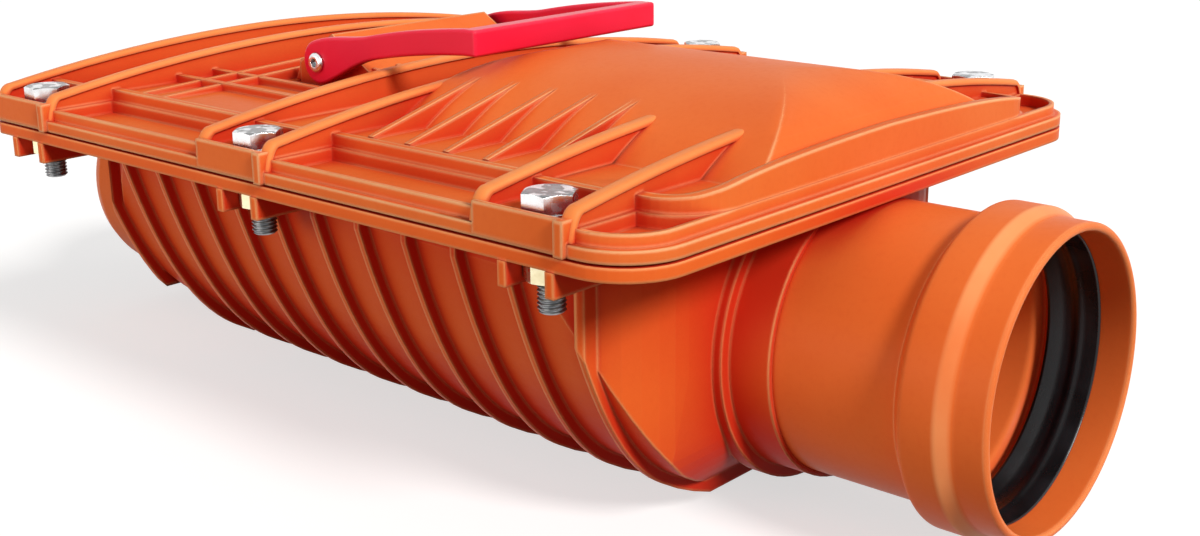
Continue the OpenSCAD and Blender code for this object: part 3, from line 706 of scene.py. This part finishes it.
make_gussets()

# Screws of the lever: domed heads with a hexagon recess, and plain shanks
LEVER_SCREW_R = 4.5
LEVER_SCREW_H = 2.2
LEVER_SCREW_EDGE = 0.5
LEVER_SCREW_UNDERCUT = 0.2
LEVER_SHANK_R = 1.75
LEVER_SHANK_L = 10.0
CROWN_R = 2.6
DOME_STEPS = 9
DOME_STEP = math.radians(10.0)
RECESS_R = 2.1
RECESS_EDGE = 0.1
RECESS_DEPTH = 1.6
SCREW_SMOOTH_ANGLE = 35.0


def recess_radius(a):
    """Radius of the hexagon recess at an angle; a corner lies at angle zero."""
    return RECESS_R * math.cos(math.pi / 6) / math.cos(a % (math.pi / 3) - math.pi / 6)


def turned_y(bm, profile, side, steps=48):
    """Solid about the lever shaft, from (y, radius) points; a radius of None is the hexagon recess."""
    rows = []
    for y, r in profile:
        ring = []
        for j in range(steps):
            a = 2 * math.pi * j / steps
            reach = recess_radius(a) if r is None else r
            spot = place(SHAFT[0] + reach * math.cos(a), side * y, SHAFT[1] + reach * math.sin(a))
            ring.append(bm.verts.new(spot))
        rows.append(ring)
    capped_grid(bm, rows)


def make_lever_screws():
    bm = bmesh.new()
    foot = ARM_OUT_Y
    profile = [
        (foot - LEVER_SHANK_L, LEVER_SHANK_R),
        (foot, LEVER_SHANK_R),
        (foot, LEVER_SCREW_R - LEVER_SCREW_UNDERCUT),
    ]
    for k in range(DOME_STEPS):
        rise = (LEVER_SCREW_H - LEVER_SCREW_EDGE) * math.sin(DOME_STEP * k)
        spread = (LEVER_SCREW_R - CROWN_R) * math.cos(DOME_STEP * k)
        profile.append((foot + LEVER_SCREW_EDGE + rise, CROWN_R + spread))
    profile.append((foot + LEVER_SCREW_H - RECESS_EDGE, None))
    profile.append((foot + LEVER_SCREW_H - RECESS_DEPTH, None))
    for side in (-1, 1):
        turned_y(bm, profile, side)
    bmesh.ops.recalc_face_normals(bm, faces=bm.faces)
    stand_for(new_object("lever_screw_heads", bm, ZINC, SCREW_SMOOTH_ANGLE), "lever_screws")


make_lever_screws()

# Lid bolts and nuts: hexagons with turned chamfers, and threaded rods
CHAMFER_R = 0.495 * HEX_AF
CHAMFER_SLOPE = math.tan(math.radians(20))
THREAD_PITCH = 1.5
THREAD_R = 4.98
THREAD_DEPTH = 0.85
THREAD_FLANK = 2.4
THREAD_RINGS = 8
TIP_CHAMFER = 1.0
TIP_SLOPE = 1.2
ROD_SUNK = 0.01
HEAD_TURNS = (0.45, 0.10, 0.62, 0.80, 0.54, 0.30)
HEX_SMOOTH_ANGLE = 12.0
THREAD_SMOOTH_ANGLE = 60.0


def hex_radius(a):
    """Radius of the hexagon at an angle; the middle of a flat lies at angle zero."""
    return HEX_AF / 2 / math.cos((a + math.pi / 6) % (math.pi / 3) - math.pi / 6)


def add_hexagon(bm, x, y, z0, z1, turn, chamfer_low, steps=72):
    """Hexagon between two heights; a chamfer is a cone that cuts its corners, above and, if asked, below."""
    rings = [(z0, 0.0, True), (z0, CHAMFER_SLOPE, False)] if chamfer_low else [(z0, 0.0, False)]
    rings += [(z1, -CHAMFER_SLOPE, False), (z1, 0.0, True)]
    rows = []
    for z, fall, cut in rings:
        ring = []
        for j in range(steps):
            a = 2 * math.pi * j / steps
            full = hex_radius(a)
            r = CHAMFER_R if cut else full
            height = z + fall * (full - CHAMFER_R)
            ring.append(bm.verts.new(place(x + r * math.cos(a + turn), y + r * math.sin(a + turn), height)))
        rows.append(ring)
    capped_grid(bm, rows)


def add_thread(bm, x, y, z0, z1, steps=40):
    """Threaded rod, whose radius follows the helix of the thread, with a chamfered tip below."""
    rows = []
    count = int((z1 - z0) / THREAD_PITCH * THREAD_RINGS)
    for i in range(count + 1):
        z = z0 + (z1 - z0) * i / count
        tip_r = THREAD_R - TIP_CHAMFER + (z - z0) * TIP_SLOPE
        ring = []
        for j in range(steps):
            a = 2 * math.pi * j / steps
            phase = ((z - z0) / THREAD_PITCH - j / steps) % 1.0
            sunk = min(1.0, THREAD_FLANK * abs(phase - 0.5))
            r = min(THREAD_R - THREAD_DEPTH * sunk, tip_r)
            ring.append(bm.verts.new(place(x + r * math.cos(a), y + r * math.sin(a), z)))
        rows.append(ring)
    capped_grid(bm, rows)


def make_bolts():
    heads = bmesh.new()
    nuts = bmesh.new()
    rods = bmesh.new()
    base = LID_TOP + WASHER_T
    places = [(x, y) for x in BOLT_XS for y in BOLT_YS]
    for (x, y), turn in zip(places, HEAD_TURNS):
        add_hexagon(heads, x, y, base, base + HEAD_H, turn, chamfer_low=False)
        add_hexagon(nuts, x, y, BODY_UNDER - NUT_H, BODY_UNDER, 0.0, chamfer_low=True)
        add_thread(rods, x, y, base - BOLT_L, base + ROD_SUNK)
    stand_for(new_object("bolt_heads", heads, ZINC, HEX_SMOOTH_ANGLE), "lid_bolts")
    stand_for(new_object("bolt_threads", rods, THREAD, THREAD_SMOOTH_ANGLE), "lid_bolts")
    stand_for(new_object("nut_hexes", nuts, NUT_ZINC, HEX_SMOOTH_ANGLE), "lid_nuts")


make_bolts()

# Floor and world, in metres: both look white, and light the object less than that
FLOOR_HALF = 40.0
FLOOR_Z = -0.0005
FLOOR_BOUNCE = (0.20, 0.19, 0.18)
FLOOR_SEEN = (0.55, 0.55, 0.55)
FLOOR_GLOW = 0.62
WORLD_LIGHT = (0.24, 0.24, 0.24)
WORLD_SEEN = (1.0, 1.0, 1.0)


def seen_by_eye(tree):
    """One for rays from the camera, in reflections and through glass, and zero for rays that only light."""
    path = add(tree, "LightPath").outputs
    seen = larger(tree, path["Is Camera Ray"], path["Is Glossy Ray"])
    return larger(tree, seen, path["Is Transmission Ray"])


def make_floor():
    bm = bmesh.new()
    corners = ((-1, -1), (1, -1), (1, 1), (-1, 1))
    bm.faces.new([bm.verts.new((x * FLOOR_HALF, y * FLOOR_HALF, FLOOR_Z)) for x, y in corners])
    mat = bpy.data.materials.new("studio_floor")
    mat.use_nodes = True
    tree = mat.node_tree
    tree.nodes.clear()
    seen = seen_by_eye(tree)
    paint = add(tree, "BsdfDiffuse", inputs={"Color": mix(tree, seen, FLOOR_BOUNCE, FLOOR_SEEN)})
    glow = add(tree, "Emission", inputs={"Strength": times(tree, seen, FLOOR_GLOW)})
    both = add(tree, "AddShader", inputs={0: paint.outputs[0], 1: glow.outputs[0]})
    add(tree, "OutputMaterial", inputs={"Surface": both.outputs[0]})
    floor = new_object("floor", bm, mat)


def make_world():
    world = bpy.data.worlds.new("studio")
    world.use_nodes = True
    tree = world.node_tree
    tree.nodes.clear()
    sky = mix(tree, seen_by_eye(tree), WORLD_LIGHT, WORLD_SEEN)
    light = add(tree, "Background", inputs={"Color": sky})
    add(tree, "OutputWorld", inputs={"Surface": light.outputs[0]})
    bpy.context.scene.world = world


# Lamps: places and sizes in metres, strength in watts, or watts per square metre for the sun
SUN_ANGLE = math.radians(14)
OBJECT_MID = (0.0, 0.0, 0.1)
OBJECT_LOW = (0.0, 0.0, 0.08)
ORIGIN = (0.0, 0.0, 0.0)


def add_lamp(name, kind, energy, colour, place_at, look_at):
    """New lamp at a place, turned to look at another; the rest of its settings are left to the caller."""
    data = bpy.data.lights.new(name, kind)
    data.energy = energy
    data.color = colour
    lamp = bpy.data.objects.new(name, data)
    bpy.context.scene.collection.objects.link(lamp)
    back = (Vector(place_at) - Vector(look_at)).normalized()
    turn = back.to_track_quat("Z", "Y").to_matrix().to_4x4()
    lamp.matrix_world = Matrix.Translation(place_at) @ turn
    return data


def add_panel(name, energy, colour, place_at, look_at, width, height):
    data = add_lamp(name, "AREA", energy, colour, place_at, look_at)
    data.shape = "RECTANGLE"
    data.size = width
    data.size_y = height


def make_lamps():
    key = add_lamp("key", "SUN", energy=2.8, colour=(1.0, 0.98, 0.95), place_at=(1.5, -0.3, 1.05),
                   look_at=ORIGIN)
    key.angle = SUN_ANGLE
    add_panel("rim", energy=3.0, colour=(1.0, 0.97, 0.93), place_at=(0.9, 0.5, 1.0), look_at=OBJECT_MID,
              width=0.6, height=1.2)
    add_panel("fill", energy=9.0, colour=(1.0, 0.84, 0.76), place_at=(-0.3, -1.5, 0.35), look_at=OBJECT_LOW,
              width=1.4, height=0.6)


# Camera, fitted to the photograph: place in metres, lens and sensor in millimetres
CAMERA_AT = (0.49241, -0.49852, 0.27202)
CAMERA_AZIMUTH = math.radians(41.586)
CAMERA_ELEVATION = math.radians(16.764)
CAMERA_ROLL = math.radians(-0.598)
CAMERA_LENS = 47.324
CAMERA_SENSOR = 36.0
CAMERA_NEAR = 0.01


def make_camera():
    flat = math.cos(CAMERA_ELEVATION)
    east = math.sin(CAMERA_AZIMUTH) * flat
    south = math.cos(CAMERA_AZIMUTH) * flat
    back = Vector((east, -south, math.sin(CAMERA_ELEVATION)))
    level = (-back).cross(Vector((0, 0, 1))).normalized()
    upright = level.cross(-back)
    right = level * math.cos(CAMERA_ROLL) + upright * math.sin(CAMERA_ROLL)
    up = upright * math.cos(CAMERA_ROLL) - level * math.sin(CAMERA_ROLL)
    data = bpy.data.cameras.new("camera")
    data.lens = CAMERA_LENS
    data.sensor_width = CAMERA_SENSOR
    data.sensor_fit = "HORIZONTAL"
    data.clip_start = CAMERA_NEAR
    camera = bpy.data.objects.new("camera", data)
    bpy.context.scene.collection.objects.link(camera)
    camera.matrix_world = Matrix.Translation(CAMERA_AT) @ Matrix((right, up, back)).transposed().to_4x4()
    bpy.context.scene.camera = camera


make_floor()
make_world()
make_lamps()
make_camera()

bpy.context.scene.view_settings.view_transform = "Standard"
